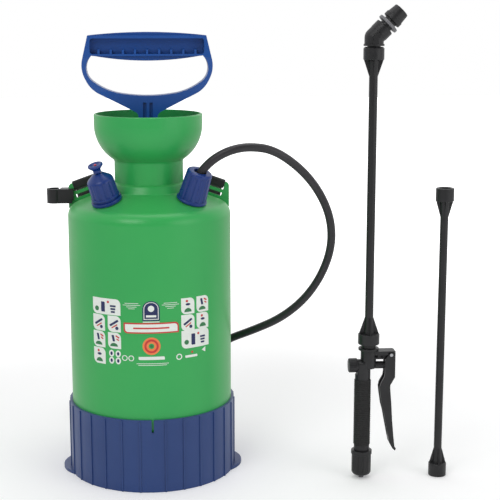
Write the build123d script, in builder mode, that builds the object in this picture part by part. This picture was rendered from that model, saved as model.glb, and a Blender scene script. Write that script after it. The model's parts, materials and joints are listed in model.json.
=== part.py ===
from build123d import *
import os
from math import atan2, cos, hypot, pi, radians, sin, tan

os.makedirs("parts", exist_ok=True)

# Hand-pumped pressure sprayer: a tank with a filling funnel, pump, relief valve and hose outlet, with a
# trigger wand and an extension tube standing beside it. Millimetres, +Z up, the pump faces -Y.
# The origin is on the floor, on the axis of the tank.

# Driving dimensions: tank
tank_r = 88.5
tank_wall = 2.3
tank_floor_z = 43.0
heel_round = 30.0
shoulder_round = 14.0
shoulder_slope = 21.5       # degrees below the horizontal
cone_r = 45.0               # the shoulder cone ends here, at the root of the neck
cone_z = 313.0
neck_r = 37.2
neck_bore_r = 35.0
ledge_z = 348.5             # flat seat of the pump's gasket
bowl_r = 58.5
rim_z = 396.0
bowl_slope = 36.3           # degrees, where the funnel leaves the neck

# Base
skirt_in = 88.8
skirt_out = 91.6
skirt_top = 80.0
ledge_width = 40.8
skirt_ledge = 2.8
rib_count = 28
rib_first = 8.5             # degrees from the front to the first rib
rib_out = 92.6
rib_width = 1.6
foot_reach = 100.0
foot_thick = 3.2

# Caps on the shoulder
cap_x = 44.4
cap_y = -42.0
spigot_r = 11.0
spigot_bore_r = 8.0
spigot_height = 14.0
cap_clearance = 0.3
cap_seat = 0.8              # height of the flat boss under each cap
cap_flange_r = 16.4
flute_count = 12
flute_r = 3.2
flute_depth = 1.0

# Ears and strap
ear_y = 20.0
ear_thick = 4.0
ear_inner_x = 49.0
ear_outer_x = 88.5
ear_top_z = 330.6
ear_slope = 19.7
ear_foot_z = 291.0
strap_x = 71.5             # middle of the strap on each ear
slot_length = 29.0
strap_width = 27.0
strap_thick = 1.6
strap_gap = 0.3

# Pump
barrel_out = 19.0
barrel_in = 17.0
barrel_foot_z = 92.0
barrel_top_z = 346.0
rod_r = 8.0
rod_spigot_r = 6.0
stem_foot_z = 356.0
piston_foot_z = 102.6
piston_top_z = 118.0
running_fit = 0.05

# Handle
grip_half = 62.8
grip_depth = 27.0
stem_half = 10.2
stem_depth = 18.0
handle_pin_z = 370.0

# Hose
hose_r = 4.6
coil_pitch = 11.0
coil_r = 58.0
coil_half_turns = 4

# Wand: grip_x is the axis of the grip, lance_x the axis of the lance
grip_x = 228.0
lance_x = grip_x + 5.9
wand_y = -62.5
grip_r = 9.25
rod_z = 127.3
pivot_x = grip_x + 30.1
pivot_z = 139.4
trigger_width = 13.0
lance_tube_r = 4.5
lance_bore_r = 2.8
socket_r = 7.1
spigot_fit = 0.1
lance_foot_z = 151.0
lance_top_z = 468.0
bend_z = 477.6
nozzle_lean = 45.5          # degrees from the vertical

# Extension tube
extension_x = 313.0
extension_height = 320.0
cup_r = 9.75
extension_tube_r = 4.3
oring_seat_r = 6.5


def shoulder_z(radius):
    return cone_z - (radius - cone_r) * tan(radians(shoulder_slope))


def shoulder_plane(side):
    """Plane on the shoulder, square to it, on the left (-1) or right (1) of the pump."""
    heading = atan2(cap_y, side * cap_x)
    lean = radians(shoulder_slope)
    return Plane(
        origin=(side * cap_x, cap_y, shoulder_z(hypot(cap_x, cap_y))),
        x_dir=(-sin(heading), cos(heading), 0),
        z_dir=(sin(lean) * cos(heading), sin(lean) * sin(heading), cos(lean)),
    )


def beside(base):
    """Plane that holds the axis of base: its x is the distance from that axis, its y the height along it."""
    return Plane(origin=base.origin, x_dir=base.x_dir, z_dir=base.y_dir * -1)


def axis_of(base):
    return Axis(base.origin, base.z_dir)


def outline(plane, corners, rounds=None):
    """Face with the given corners, in order, each with its own rounding."""
    with BuildSketch(plane) as drawn:
        with BuildLine():
            if rounds is None:
                Polyline(*corners, close=True)
            else:
                FilletPolyline(*corners, radius=rounds, close=True)
        make_face()
    return drawn.sketch


def turned(base, corners, rounds=None):
    """Solid of revolution about the axis of base, from corners (radius, height)."""
    with BuildPart() as made:
        revolve(outline(beside(base), corners, rounds), axis_of(base))
    return made.part


def fins(base, foot, top):
    """Four fins about the axis of base, from foot (radius, height) to top (radius, height)."""
    fin_half = 0.9
    root = 3.0
    with BuildPart() as made:
        for quarter in range(4):
            turn = radians(90 * quarter)
            across = base.x_dir * cos(turn) + base.y_dir * sin(turn)
            plane = Plane(origin=base.origin, x_dir=across, z_dir=across.cross(base.z_dir))
            corners = [(root, foot[1]), foot, top, (root, top[1])]
            extrude(outline(plane, corners), amount=fin_half, both=True)
    return made.part


def flutes(base, radius, count, cutter_r, foot, top, taper=0.0):
    """Round grooves along a body about the axis of base."""
    with BuildPart() as made:
        with Locations(base.location):
            with PolarLocations(radius, count):
                with Locations(Location((0, 0, foot), (0, -taper, 0))):
                    Cylinder(cutter_r, top - foot, align=(Align.CENTER, Align.CENTER, Align.MIN))
    return made.part


def coil_spring(base, mean_r, wire_r, foot, top, turns):
    """Helical spring about the axis of base."""
    start = base.offset(foot + wire_r + 0.05)
    height = top - foot - 2 * wire_r - 0.1
    with BuildPart() as made:
        with BuildLine() as wound:
            Helix(height / turns, height, mean_r, center=start.origin, direction=start.z_dir)
        with BuildSketch(Plane(origin=wound.line @ 0, z_dir=wound.line % 0)):
            Circle(wire_r)
        sweep(path=wound.line, is_frenet=True)
    return made.part


ground = Plane.XY
relief = shoulder_plane(-1)
outlet = shoulder_plane(1)
wand = Plane((grip_x, wand_y, 0))
lance = Plane((lance_x, wand_y, 0))
extension = Plane((extension_x, wand_y, 0))
nozzle = Plane(
    origin=(lance_x, wand_y, bend_z),
    x_dir=(cos(radians(nozzle_lean)), 0, -sin(radians(nozzle_lean))),
    z_dir=(sin(radians(nozzle_lean)), 0, cos(radians(nozzle_lean))),
)

# Tank shell: blow-moulded barrel, shoulder, neck and funnel in one, with two spigots and two ears
bowl_rise = tan(radians(bowl_slope))
neck_top_z = ledge_z - tank_wall
bowl_corner_z = neck_top_z + (bowl_r - neck_r) * bowl_rise
seat_r = neck_r + 0.8
inner_bowl_r = bowl_r - tank_wall - 0.1
inner_shift = (tank_wall + 0.1) / cos(radians(bowl_slope))
inner_corner_z = neck_top_z + inner_shift + (inner_bowl_r - neck_r) * bowl_rise
seat_wall_z = neck_top_z + inner_shift + (seat_r - neck_r) * bowl_rise
inner_cone_drop = tank_wall / cos(radians(shoulder_slope))
inner_r = tank_r - tank_wall
tank_outer = [
    (0, tank_floor_z + 3), (52, tank_floor_z), (tank_r, tank_floor_z), (tank_r, shoulder_z(tank_r)),
    (cone_r, cone_z), (41, 321), (neck_r, 322.5), (neck_r, neck_top_z),
    (bowl_r, bowl_corner_z), (bowl_r, rim_z), (0, rim_z),
]
tank_outer_rounds = [0, 0, heel_round, shoulder_round, 2, 1, 0, 4, 45, 1.2, 0]
cavity = [
    (0, tank_floor_z + 3 + tank_wall), (52, tank_floor_z + tank_wall), (inner_r, tank_floor_z + tank_wall),
    (inner_r, shoulder_z(inner_r) - inner_cone_drop), (cone_r - 2.2, cone_z - 1.6), (38.9, 318.7),
    (neck_bore_r, 320.5), (neck_bore_r, ledge_z), (seat_r, ledge_z), (seat_r, seat_wall_z),
    (inner_bowl_r, inner_corner_z), (inner_bowl_r, rim_z), (0, rim_z),
]
cavity_rounds = [0, 0, heel_round - tank_wall, shoulder_round - tank_wall, 0, 0, 0, 0, 0, 0, 41, 0, 0]
ear_rise = tan(radians(ear_slope))
ear_run = cos(radians(ear_slope))
ear_end_z = ear_top_z - (ear_outer_x - ear_inner_x) * ear_rise
strap_top_z = ear_top_z - (strap_x - ear_inner_x) * ear_rise
upper_slot = (-9.3, -5.8)   # below the ear's top edge, square to it
lower_slot = (-16.7, -12.8)

with BuildPart() as tank_shell:
    add(turned(ground, tank_outer, tank_outer_rounds))
    for side in (1, -1):
        ear_corners = [
            (side * ear_inner_x, ear_top_z), (side * ear_outer_x, ear_end_z),
            (side * ear_outer_x, ear_foot_z), (side * (ear_outer_x - 6), ear_foot_z - 11), (side * ear_inner_x, ear_foot_z - 1),
        ]
        extrude(outline(Plane.XZ.offset(-ear_y - ear_thick), ear_corners, [1.5, 4, 3, 0, 0]), amount=ear_thick)
    for spigot in (relief, outlet):
        with BuildSketch(spigot.offset(-4)):
            Circle(spigot_r + 2)
        extrude(amount=4 + cap_seat)
        with BuildSketch(spigot.offset(-4)):
            Circle(spigot_r)
        extrude(amount=4 + spigot_height)
    add(turned(ground, cavity, cavity_rounds), mode=Mode.SUBTRACT)
    for spigot in (relief, outlet):
        with BuildSketch(spigot.offset(-8)):
            Circle(spigot_bore_r)
        extrude(amount=9 + spigot_height, mode=Mode.SUBTRACT)
    for side in (1, -1):
        for slot in (upper_slot, lower_slot):
            middle = sum(slot) / 2
            centre = (side * (strap_x + middle * sin(radians(ear_slope))), strap_top_z + middle * ear_run)
            with BuildSketch(Plane.XZ.offset(-ear_y - ear_thick)):
                with Locations(centre):
                    Rectangle(slot_length, slot[1] - slot[0], rotation=-side * ear_slope)
            extrude(amount=ear_thick, mode=Mode.SUBTRACT)
tank_shell.part.label = "tank_shell"
export_step(tank_shell.part, "parts/tank_shell.step")

# Base skirt: ribbed ring with a ledge under the tank, a slit at front and back and a foot tab at each side
with BuildPart() as base_skirt:
    add(turned(ground, [
        (skirt_in, 0), (skirt_out, 0), (skirt_out, skirt_top), (skirt_in, skirt_top), (skirt_in, tank_floor_z),
        (skirt_in - ledge_width, tank_floor_z), (skirt_in - ledge_width, tank_floor_z - skirt_ledge),
        (skirt_in, tank_floor_z - skirt_ledge),
    ]))
    rib_step = (180 - 2 * rib_first) / (rib_count / 2 - 1)
    for side in (1, -1):
        for k in range(rib_count // 2):
            turn = -90 + side * (rib_first + rib_step * k)
            middle = (rib_out + skirt_out - 1) / 2
            with Locations(Location((middle * cos(radians(turn)), middle * sin(radians(turn)), 0), (0, 0, turn))):
                Box(
                    rib_out - skirt_out + 1, rib_width, skirt_top - 1.2,
                    align=(Align.CENTER, Align.CENTER, Align.MIN),
                )
    with BuildSketch():
        with Locations((foot_reach - 41, 0), (41 - foot_reach, 0)):
            Circle(41)
        Circle(skirt_in, mode=Mode.SUBTRACT)
    extrude(amount=foot_thick)
    with Locations((0, -skirt_out, skirt_top), (0, skirt_out, skirt_top)):
        Box(2.3, 10, 27.4, mode=Mode.SUBTRACT)
base_skirt.part.label = "base_skirt"
export_step(base_skirt.part, "parts/base_skirt.step")

# Relief valve: cap, seat, stem with seal and spring, knob and indicator
cap_bore_r = spigot_r + cap_clearance
seat_top = spigot_height + 3.5
stem_r = 2.4
with BuildPart() as relief_cap:
    add(turned(relief, [
        (cap_bore_r, cap_seat), (cap_flange_r, cap_seat), (cap_flange_r, 3.8), (13.9, 3.9), (13.9, 5.9),
        (15.3, 6), (15.3, 7.9), (14.6, 8), (14.2, 26.4), (6, 32.9), (4.8, 33.8), (stem_r + 0.1, 33.8),
        (stem_r + 0.1, 30), (7.5, 30), (7.5, seat_top), (cap_bore_r, seat_top),
    ], [0, 0, 0.8, 0, 0, 0.5, 0.5, 0, 6, 1.5, 0.3, 0, 0, 0, 0, 0]))
    add(flutes(relief, 14.6 - flute_depth + flute_r, flute_count, flute_r, 8.8, 25.6, taper=1.1), mode=Mode.SUBTRACT)
    with BuildSketch(Plane(origin=relief.origin + relief.z_dir * 26, z_dir=-relief.x_dir)):
        Circle(1.1)
    extrude(amount=16, mode=Mode.SUBTRACT)
relief_cap.part.label = "relief_cap"
export_step(relief_cap.part, "parts/relief_cap.step")

with BuildPart() as relief_seat:
    add(turned(relief, [(3, spigot_height), (spigot_r, spigot_height), (spigot_r, seat_top), (3, seat_top)]))
relief_seat.part.label = "relief_seat"
export_step(relief_seat.part, "parts/relief_seat.step")

with BuildPart() as relief_stem:
    add(turned(relief, [
        (0, spigot_height + 1), (2, spigot_height + 1), (2, seat_top + 1), (5, seat_top + 1), (5, seat_top + 3),
        (stem_r, seat_top + 3), (stem_r, 40), (0, 40),
    ]))
relief_stem.part.label = "relief_stem"
export_step(relief_stem.part, "parts/relief_stem.step")

with BuildPart() as relief_seal:
    add(turned(relief, [(2.05, seat_top), (5.2, seat_top), (5.2, seat_top + 1), (2.05, seat_top + 1)]))
relief_seal.part.label = "relief_seal"
export_step(relief_seal.part, "parts/relief_seal.step")

with BuildPart() as relief_spring:
    add(coil_spring(relief, 4.4, 0.45, seat_top + 3, 30, 5))
relief_spring.part.label = "relief_spring"
export_step(relief_spring.part, "parts/relief_spring.step")

with BuildPart() as relief_knob:
    add(turned(relief, [
        (stem_r + running_fit, 35), (4.5, 35), (4, 37.6), (8.1, 41.9), (8.1, 43.7), (6.3, 44), (3.2, 42.6),
        (1.45, 42.6), (1.45, 40), (stem_r + running_fit, 40),
    ], [0, 0.4, 2, 0.6, 0.7, 0.6, 1, 0, 0, 0]))
relief_knob.part.label = "relief_knob"
export_step(relief_knob.part, "parts/relief_knob.step")

with BuildPart() as relief_indicator:
    add(turned(relief, [(0, 40), (1.4, 40), (1.4, 43.9), (0, 43.9)], [0, 0, 0.5, 0]))
relief_indicator.part.label = "relief_indicator"
export_step(relief_indicator.part, "parts/relief_indicator.step")

# Hose outlet: fluted nut that clamps a tail on a gasket, with the dip tube and its strainer below
tail_shoulder = spigot_height + 4.0
hose_start = 20.0
hose_hole_r = 6.6
with BuildPart() as outlet_nut:
    add(turned(outlet, [
        (cap_bore_r, cap_seat), (cap_flange_r, cap_seat), (cap_flange_r, 2.6), (15.3, 3.4), (13.5, 34.6),
        (hose_hole_r, 34.6), (hose_hole_r, 31), (8.4, 31), (8.4, tail_shoulder), (cap_bore_r, tail_shoulder),
    ], [0, 0.4, 0.5, 0, 2.2, 0.8, 0, 0, 0, 0]))
    add(flutes(outlet, 15.3 - flute_depth + flute_r, flute_count, flute_r, 4.6, 31, taper=3.4), mode=Mode.SUBTRACT)
outlet_nut.part.label = "outlet_nut"
export_step(outlet_nut.part, "parts/outlet_nut.step")

with BuildPart() as outlet_gasket:
    add(turned(outlet, [
        (4.1, spigot_height), (10.9, spigot_height), (10.9, spigot_height + 1.5), (4.1, spigot_height + 1.5),
    ]))
outlet_gasket.part.label = "outlet_gasket"
export_step(outlet_gasket.part, "parts/outlet_gasket.step")

with BuildPart() as outlet_tail:
    add(turned(outlet, [
        (1.9, -10), (2.55, -10), (2.55, 2), (4, 2), (4, spigot_height + 1.5), (10.8, spigot_height + 1.5),
        (10.8, tail_shoulder), (4.2, tail_shoulder), (4.2, hose_start), (1.9, hose_start),
    ]))
outlet_tail.part.label = "outlet_tail"
export_step(outlet_tail.part, "parts/outlet_tail.step")

dip_top = outlet.origin + outlet.z_dir * 2
dip_bend = outlet.origin - outlet.z_dir * 22
dip_foot_z = tank_floor_z + 9
with BuildPart() as dip_tube:
    with BuildLine() as dip_line:
        FilletPolyline(dip_top, dip_bend, (dip_bend.X, dip_bend.Y, dip_foot_z), radius=40)
    with BuildSketch(Plane(origin=dip_top, z_dir=outlet.z_dir * -1)):
        Circle(4)
        Circle(2.6, mode=Mode.SUBTRACT)
    sweep(path=dip_line.line)
dip_tube.part.label = "dip_tube"
export_step(dip_tube.part, "parts/dip_tube.step")

strainer_base = Plane((dip_bend.X, dip_bend.Y, dip_foot_z))
with BuildPart() as strainer:
    add(turned(strainer_base, [
        (0, -6), (6.5, -6), (6.5, 10), (4.05, 10), (4.05, 0), (5, 0), (5, -4.5), (0, -4.5),
    ]))
    with Locations(strainer_base.offset(-4).location):
        with PolarLocations(6, 6):
            Box(4, 1.2, 3.4, align=(Align.CENTER, Align.CENTER, Align.MIN), mode=Mode.SUBTRACT)
strainer.part.label = "strainer"
export_step(strainer.part, "parts/strainer.step")

# Hose: the free stretch leaves the nut, swings out to the right and goes behind the tank to the floor
coil_centre = (-38.0, 187.5)
coil_start = (coil_centre[0] + 2 * hose_r, coil_centre[1] - coil_r, hose_r)
hose_points = [
    outlet.origin + outlet.z_dir * hose_start,
    outlet.origin + outlet.z_dir * (hose_start + 9.5),
    Vector(58.3, -51.8, 343.2),
    Vector(69.8, -54.2, 353.7),
    Vector(86, -55.3, 361.8),
    Vector(105.7, -53.6, 364.9),
    Vector(132, -48, 360.6),
    Vector(162, -36.5, 339),
    Vector(184, -26, 312),
    Vector(198, -15, 281),
    Vector(201, -5, 248),
    Vector(192, 6, 214),
    Vector(174, 17.5, 183),
    Vector(148, 31, 158),
    Vector(117, 45, 141),
    Vector(90, 62, 127),
    Vector(68, 81, 108),
    Vector(51, 98, 85),
    Vector(38, 111, 60),
    Vector(29, 118.5, 40),
    Vector(20.5, 124.2, 24),
    Vector(10.8, 127.8, 14.5),
    Vector(-1.2, 129.3, 7.9),
    Vector(-14.8, 129.5, hose_r),
    Vector(*coil_start),
]
hose_runs = [b - a for a, b in zip(hose_points, hose_points[1:])]
hose_turns = [a.get_angle(b) for a, b in zip(hose_runs, hose_runs[1:])]
hose_radii = [
    0.45 * min(a.length, b.length) / tan(radians(turn / 2))
    for a, b, turn in zip(hose_runs, hose_runs[1:], hose_turns)
]
with BuildPart() as hose:
    with BuildLine() as hose_line:
        FilletPolyline(*hose_points, radius=hose_radii)
    with BuildSketch(Plane(origin=hose_points[0], z_dir=hose_runs[0])):
        Circle(hose_r)
    sweep(path=hose_line.line)
hose.part.label = "hose"
export_step(hose.part, "parts/hose.step")

# Hose coil: the rest of the hose, a flat spiral of half turns on the floor behind the tank
with BuildPart() as hose_coil:
    with BuildLine(Plane.XY.offset(hose_r)) as coil_line:
        Line((coil_start[0], coil_start[1]), (coil_centre[0], coil_start[1]))
        loop_y = coil_start[1]
        for k in range(coil_half_turns):
            loop_r = coil_r - k * coil_pitch / 2
            up = 1 if k % 2 == 0 else -1
            CenterArc((coil_centre[0], loop_y + up * loop_r), loop_r, start_angle=-90 * up, arc_size=-180)
            loop_y += up * 2 * loop_r
        Line((coil_centre[0], loop_y), (coil_centre[0] - 2 * hose_r, loop_y))
    with BuildSketch(Plane(origin=coil_start, z_dir=(-1, 0, 0))):
        Circle(hose_r)
    sweep(path=coil_line.line)
hose_coil.part.label = "hose_coil"
export_step(hose_coil.part, "parts/hose_coil.step")

# Strap: webbing round the upper beam of each ear, hanging in a loop behind the tank
strap_stations = [  # middle of the webbing from the bottom of the loop up to the right ear, share of its turn
    ((0, 104, 141), 0.0), ((24, 103, 144), 0.08), ((43, 99, 160), 0.3), ((55, 95, 196), 0.7),
    ((62, 91, 245), 0.95), ((66.5, 85, 283), 1.0), ((69.3, 69, 304.5), 1.0), ((70.3, 48, 315.5), 1.0),
]
beam_centre = -2.9          # middle of the strap loop, below the ear's top edge
ear_along = Vector(ear_run, 0, -sin(radians(ear_slope)))
ear_up = Vector(sin(radians(ear_slope)), 0, ear_run)
strap_anchor = Vector(strap_x, ear_y + ear_thick + strap_gap + strap_thick - 0.4, strap_top_z) + ear_up * beam_centre
half_path = [Vector(*place) for place, share in strap_stations] + [strap_anchor]
half_turn = [share for place, share in strap_stations] + [1.0]
full_path = [Vector(-p.X, p.Y, p.Z) for p in reversed(half_path[1:])] + half_path
full_side = [-1] * (len(half_path) - 1) + [1] * len(half_path)
full_turn = list(reversed(half_turn[1:])) + half_turn


def strap_frame(k):
    """Plane across the webbing at station k of the whole path."""
    before = full_path[max(k - 1, 0)]
    after = full_path[min(k + 1, len(full_path) - 1)]
    travel = (after - before).normalized()
    if k in (0, len(full_path) - 1):
        travel = Vector(0, -full_side[k], 0)
    across = Vector(full_side[k] * ear_along.X, 0, ear_along.Z) * full_turn[k] + Vector(0, 1, 0) * (1 - full_turn[k])
    across = (across - travel * across.dot(travel)).normalized()
    return Plane(origin=full_path[k], x_dir=across, z_dir=travel)


with BuildPart() as strap:
    for k in range(len(full_path)):
        with BuildSketch(strap_frame(k)):
            Rectangle(strap_width, strap_thick)
    loft(ruled=True)
    for side in (1, -1):
        loop_plane = Plane(
            origin=(side * strap_x, ear_y + ear_thick / 2, strap_top_z),
            x_dir=(0, 1, 0),
            z_dir=(side * ear_along.X, 0, ear_along.Z),
        )
        up = loop_plane.y_dir.dot(Vector(side * ear_up.X, 0, ear_up.Z))
        inner = (ear_thick + 2 * strap_gap, -upper_slot[1] + 2 * strap_gap)
        with BuildSketch(loop_plane):
            with Locations((0, up * (upper_slot[1] / 2))):
                Rectangle(inner[0] + 2 * strap_thick, inner[1] + 2 * strap_thick)
                Rectangle(*inner, mode=Mode.SUBTRACT)
        extrude(amount=strap_width / 2, both=True)
strap.part.label = "strap"
export_step(strap.part, "parts/strap.step")

slider_run = (len(half_path) - 1) + 4
slider_from = strap_frame(slider_run)
slider_to = strap_frame(slider_run + 1)
slider_plane = Plane(
    origin=(slider_from.origin + slider_to.origin) * 0.5,
    x_dir=slider_from.x_dir + slider_to.x_dir,
    z_dir=slider_to.origin - slider_from.origin,
)
with BuildPart() as strap_slider:
    with BuildSketch(slider_plane.offset(-7)):
        RectangleRounded(strap_width + 7, 6, 2)
        Rectangle(strap_width + 1.6, 2.8, mode=Mode.SUBTRACT)
    extrude(amount=14)
strap_slider.part.label = "strap_slider"
export_step(strap_slider.part, "parts/strap_slider.step")

# Wand clip: pushed onto the outer edge of the left ear, with an open ring for the lance
clip_foot_z = 296.6
clip_height = 15.8
clip_ring_x = -103.6
clip_ring_y = 22.0
clip_bore_r = 5.9
with BuildPart() as wand_clip:
    with BuildSketch(Plane.XY.offset(clip_foot_z)):
        with Locations((clip_ring_x, clip_ring_y)):
            Circle(clip_bore_r + 2.9)
        with Locations((-95, 15.5)):
            Rectangle(20, 3)
        with Locations((-95, 22)):
            Rectangle(8, 16)
        with Locations((-ear_outer_x - 1.8, 22)):
            Rectangle(3.4, 16)
        with Locations((-87.5, 16.95)):
            Rectangle(9, 5.9)
        with Locations((-86.5, 27.05)):
            Rectangle(11, 5.9)
        with Locations((clip_ring_x, clip_ring_y)):
            Circle(clip_bore_r, mode=Mode.SUBTRACT)
        with Locations((clip_ring_x + 5.25, 28)):
            Rectangle(2.5, 10, mode=Mode.SUBTRACT)
    extrude(amount=clip_height)
    with Locations((-80.5, 22, clip_foot_z)):
        Box(8.6, 20, 7.4, mode=Mode.SUBTRACT)
wand_clip.part.label = "wand_clip"
export_step(wand_clip.part, "parts/wand_clip.step")

# Pump: collar in the neck with gasket and guide, barrel with its valve, rod, piston and handle
flange_foot_z = ledge_z + 2
flange_top_z = flange_foot_z + 4
collar_plug_r = neck_bore_r - 0.1
with BuildPart() as pump_collar:
    add(turned(ground, [
        (collar_plug_r, 322.5), (collar_plug_r, flange_foot_z), (37.6, flange_foot_z), (37.6, flange_top_z),
        (12.05, flange_top_z), (12.05, barrel_top_z), (barrel_out + running_fit, barrel_top_z),
        (barrel_out + running_fit, 328), (barrel_out + 3.5, 328), (barrel_out + 3.5, 346.4), (31.9, 346.4),
        (31.9, 322.5),
    ], [0, 0, 0, 1.2, 0, 0, 0, 0, 0, 0, 0, 0]))
    with Locations((0, 0, flange_top_z)):
        with PolarLocations(28, 4, start_angle=45):
            Box(13, 6, 5, align=(Align.CENTER, Align.CENTER, Align.MIN))
pump_collar.part.label = "pump_collar"
export_step(pump_collar.part, "parts/pump_collar.step")

with BuildPart() as neck_gasket:
    add(turned(ground, [
        (neck_bore_r + 0.05, ledge_z), (37.6, ledge_z), (37.6, flange_foot_z), (neck_bore_r + 0.05, flange_foot_z),
    ]))
neck_gasket.part.label = "neck_gasket"
export_step(neck_gasket.part, "parts/neck_gasket.step")

with BuildPart() as rod_guide:
    add(turned(ground, [
        (rod_r + running_fit, 343), (12, 343), (12, flange_top_z), (14, flange_top_z), (14, stem_foot_z),
        (rod_r + running_fit, stem_foot_z),
    ]))
rod_guide.part.label = "rod_guide"
export_step(rod_guide.part, "parts/rod_guide.step")

with BuildPart() as pump_barrel:
    add(turned(ground, [
        (2.05, barrel_foot_z), (barrel_out, barrel_foot_z), (barrel_out, barrel_top_z), (barrel_in, barrel_top_z),
        (barrel_in, barrel_foot_z + 3), (2.05, barrel_foot_z + 3),
    ]))
    with Locations((0, 0, barrel_foot_z)):
        with PolarLocations(8.5, 6):
            Cylinder(2, 8, mode=Mode.SUBTRACT)
pump_barrel.part.label = "pump_barrel"
export_step(pump_barrel.part, "parts/pump_barrel.step")

with BuildPart() as check_valve:
    add(turned(ground, [
        (0, barrel_foot_z - 1.8), (4, barrel_foot_z - 1.8), (14, barrel_foot_z - 0.8), (14, barrel_foot_z),
        (2, barrel_foot_z), (2, barrel_foot_z + 3.1), (3, barrel_foot_z + 3.1), (2.2, barrel_foot_z + 5.4),
        (0, barrel_foot_z + 5.4),
    ]))
check_valve.part.label = "check_valve"
export_step(check_valve.part, "parts/check_valve.step")

with BuildPart() as pump_rod:
    add(turned(ground, [
        (0, 98.5), (rod_spigot_r, 98.5), (rod_spigot_r, 100.9), (5, 100.9), (5, 102.4), (rod_spigot_r, 102.4),
        (rod_spigot_r, piston_top_z), (rod_r, piston_top_z), (rod_r, stem_foot_z), (rod_spigot_r, stem_foot_z),
        (rod_spigot_r, 384), (0, 384),
    ]))
    with BuildSketch(Plane.YZ):
        with Locations((0, handle_pin_z)):
            Circle(2.05)
    extrude(amount=rod_r, both=True, mode=Mode.SUBTRACT)
pump_rod.part.label = "pump_rod"
export_step(pump_rod.part, "parts/pump_rod.step")

with BuildPart() as rod_clip:
    with BuildSketch(Plane.XY.offset(101)):
        Circle(8.5)
        Circle(5.05, mode=Mode.SUBTRACT)
        with Locations((0, 7)):
            Rectangle(5, 8, mode=Mode.SUBTRACT)
    extrude(amount=1.3)
rod_clip.part.label = "rod_clip"
export_step(rod_clip.part, "parts/rod_clip.step")

groove_z = piston_foot_z + 3.4
with BuildPart() as piston:
    add(turned(ground, [
        (rod_spigot_r + running_fit, piston_foot_z), (16, piston_foot_z), (16, groove_z), (13, groove_z),
        (13, groove_z + 6.5), (16.6, groove_z + 6.5), (16.6, piston_top_z), (rod_spigot_r + running_fit, piston_top_z),
    ]))
piston.part.label = "piston"
export_step(piston.part, "parts/piston.step")

with BuildPart() as piston_cup:
    cup_out = barrel_in - running_fit
    add(turned(ground, [
        (13.05, groove_z), (cup_out - 0.6, groove_z), (cup_out, groove_z + 2), (cup_out, groove_z + 6),
        (15.9, groove_z + 6), (15.3, groove_z + 3), (14.4, groove_z + 3), (13.9, groove_z + 6), (13.05, groove_z + 6),
    ]))
piston_cup.part.label = "piston_cup"
export_step(piston_cup.part, "parts/piston_cup.step")

# Handle: D grip with a ribbed recess on both faces, arms that meet in a V, and a grooved stem
grip_top_z = 479.0
grip_crown = 3.5            # the middle of the grip rises this much above its ends
grip_belly_z = 452.5
grip_lip_z = 457.6          # lower edge of the two side walls
crown_depth = 17.0
handle_outer = [
    (grip_half, grip_top_z), (71.2, 443.5), (60.5, 422), (stem_half, 396.5), (stem_half, stem_foot_z),
    (-stem_half, stem_foot_z), (-stem_half, 396.5), (-60.5, 422), (-71.2, 443.5), (-grip_half, grip_top_z),
]
side_profile = [
    (grip_depth / 2, 500), (grip_depth / 2, 456), (stem_depth / 2, 420), (stem_depth / 2, 350),
    (-stem_depth / 2, 350), (-stem_depth / 2, 420), (-grip_depth / 2, 456), (-grip_depth / 2, 500),
]
recess_foot_z = 459.6
recess_top_z = 476.0
recess_web = 6.0
recess_ribs = 9
recess_rib_step = 12.78
with BuildPart() as pump_handle:
    with BuildSketch(Plane.XZ) as grip_face:
        with BuildLine():
            FilletPolyline(*handle_outer, radius=[30, 30, 6, 0, 0, 6, 30, 30])
            ThreePointArc((-grip_half, grip_top_z), (0, grip_top_z + grip_crown), (grip_half, grip_top_z))
        make_face()
        with BuildLine():
            ThreePointArc((-59, 458), (0, grip_belly_z), (59, 458))
            ThreePointArc((59, 458), (64.6, 447.5), (57, 430))
            ThreePointArc((57, 430), (42.4, 421.7), (25, 417.2))
            ThreePointArc((25, 417.2), (0, 415.3), (-25, 417.2))
            ThreePointArc((-25, 417.2), (-42.4, 421.7), (-57, 430))
            ThreePointArc((-57, 430), (-64.6, 447.5), (-59, 458))
        make_face(mode=Mode.SUBTRACT)
    extrude(amount=grip_depth, both=True)
    extrude(outline(Plane.YZ, side_profile), amount=90, both=True, mode=Mode.INTERSECT)
    for face_y in (1, -1):
        with BuildSketch(Plane.XZ.offset(face_y * crown_depth / 2)):
            with Locations((0, grip_top_z + grip_crown)):
                Rectangle(2 * grip_half, 2 * grip_crown)
            with Locations((0, grip_lip_z)):
                Rectangle(2 * 57.5, 2 * (grip_lip_z - grip_belly_z), align=(Align.CENTER, Align.MAX))
        extrude(amount=face_y * grip_depth, mode=Mode.SUBTRACT)
        with BuildSketch(Plane.XZ.offset(face_y * recess_web / 2)):
            with Locations((0, (recess_foot_z + recess_top_z) / 2)):
                RectangleRounded(121, recess_top_z - recess_foot_z, 3)
        extrude(amount=face_y * grip_depth, mode=Mode.SUBTRACT)
        with BuildSketch(Plane.XZ.offset(face_y * recess_web / 2)):
            for k in range(recess_ribs):
                with Locations(((k - (recess_ribs - 1) / 2) * recess_rib_step, recess_foot_z + 2.1)):
                    Rectangle(2.3, 5.2)
        extrude(amount=face_y * (grip_depth / 2 - recess_web / 2 - 0.4))
        with BuildSketch(Plane.XZ.offset(face_y * stem_depth / 2)):
            with Locations((-3.4, 380), (3.4, 380)):
                Rectangle(3.8, 56)
        extrude(amount=-face_y * 3, mode=Mode.SUBTRACT)
    with BuildSketch(Plane.XY.offset(stem_foot_z)):
        Circle(rod_spigot_r + running_fit)
    extrude(amount=28.5, mode=Mode.SUBTRACT)
    with BuildSketch(Plane.YZ):
        with Locations((0, handle_pin_z)):
            Circle(2.05)
    extrude(amount=20, both=True, mode=Mode.SUBTRACT)
pump_handle.part.label = "pump_handle"
export_step(pump_handle.part, "parts/pump_handle.step")

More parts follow.
